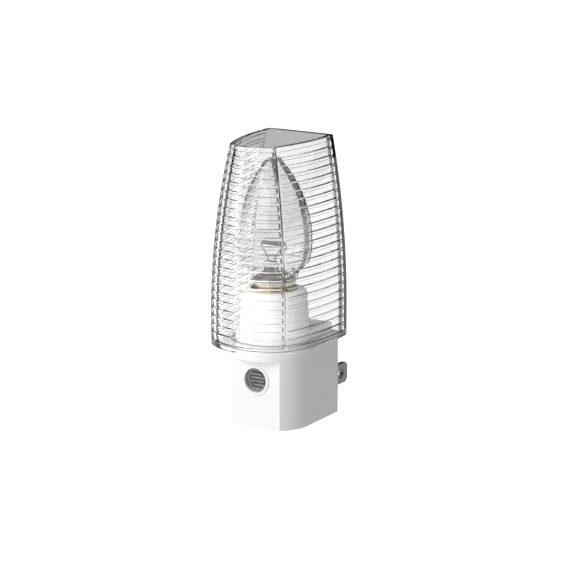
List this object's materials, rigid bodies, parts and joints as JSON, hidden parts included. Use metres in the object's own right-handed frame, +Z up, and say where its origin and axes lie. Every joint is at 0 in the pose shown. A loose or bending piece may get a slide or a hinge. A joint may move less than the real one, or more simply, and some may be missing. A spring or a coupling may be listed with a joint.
{
  "type": "plug-in night light",
  "caption": "Automatic plug-in night light: white column with a light sensor and plug blades, clear ribbed shade over a small screw-in lamp.",
  "frame": {"origin": "wall plane, midway between the two plug blades, at their mid height", "axes": "+Y into the wall along the blades, +Z up, +X to the right of a viewer who faces the light"},
  "size_m": [0.0336, 0.0529, 0.0868],
  "materials": {
    "white_plastic": "semi-gloss white moulded plastic",
    "white_sleeve": "matt white moulded plastic",
    "clear_shade": "clear glossy moulded acrylic",
    "clear_window": "clear glossy plastic lens",
    "sensor_ceramic": "dull grey ceramic",
    "sensor_track": "dark photoconductive film",
    "tinned_wire": "tinned wire",
    "board_laminate": "tan paper laminate",
    "black_epoxy": "moulded black epoxy",
    "resistor_coat": "beige lacquer",
    "capacitor_coat": "orange dipped coating",
    "brass": "bright sheet brass",
    "socket_plastic": "off-white thermoset",
    "cap_metal": "pale brass cap",
    "black_glass": "opaque black glass",
    "solder": "dull solder",
    "bulb_glass": "clear glass",
    "stem_glass": "clear pressed glass",
    "nickel_wire": "nickel wire",
    "tungsten": "dark tungsten",
    "black_wire": "black insulation",
    "white_wire": "white insulation",
    "red_wire": "red insulation",
    "screw_steel": "zinc plated steel",
    "blade_metal": "nickel plated brass"
  },
  "bodies": {
    "base": {"base_housing": "white_plastic", "rear_cover": "white_plastic", "cover_screws": "screw_steel", "photocell_bezel": "white_plastic", "photocell_window": "clear_window", "photocell_body": "sensor_ceramic", "photocell_track": "sensor_track", "photocell_leads": "tinned_wire", "circuit_board": "board_laminate", "thyristor": "black_epoxy", "resistors": "resistor_coat", "diode": "black_epoxy", "capacitor": "capacitor_coat", "socket_sleeve": "white_sleeve", "socket_shell": "brass", "socket_insulator": "socket_plastic", "socket_contact": "brass", "wire_hot": "black_wire", "wire_neutral": "white_wire", "wire_lamp": "red_wire", "blade_hot": "blade_metal", "blade_neutral": "blade_metal"},
    "shade": {"shade": "clear_shade"},
    "lamp": {"lamp_shell": "cap_metal", "lamp_insulator": "black_glass", "lamp_contact": "solder", "lamp_glass": "bulb_glass", "lamp_stem": "stem_glass", "lamp_lead_wires": "nickel_wire", "lamp_filament": "tungsten"}
  },
  "joints": [
    {"name": "shade_pull", "type": "slide", "parent": "base", "child": "shade", "axis": [0, 0, 1], "range_m": [0, 0.06]},
    {"name": "lamp_screw", "type": "hinge", "parent": "base", "child": "lamp", "pos_m": [0, -0.0171, 0.0358], "axis": [0, 0, 1], "range_deg": [0, 1080]}
  ]
}
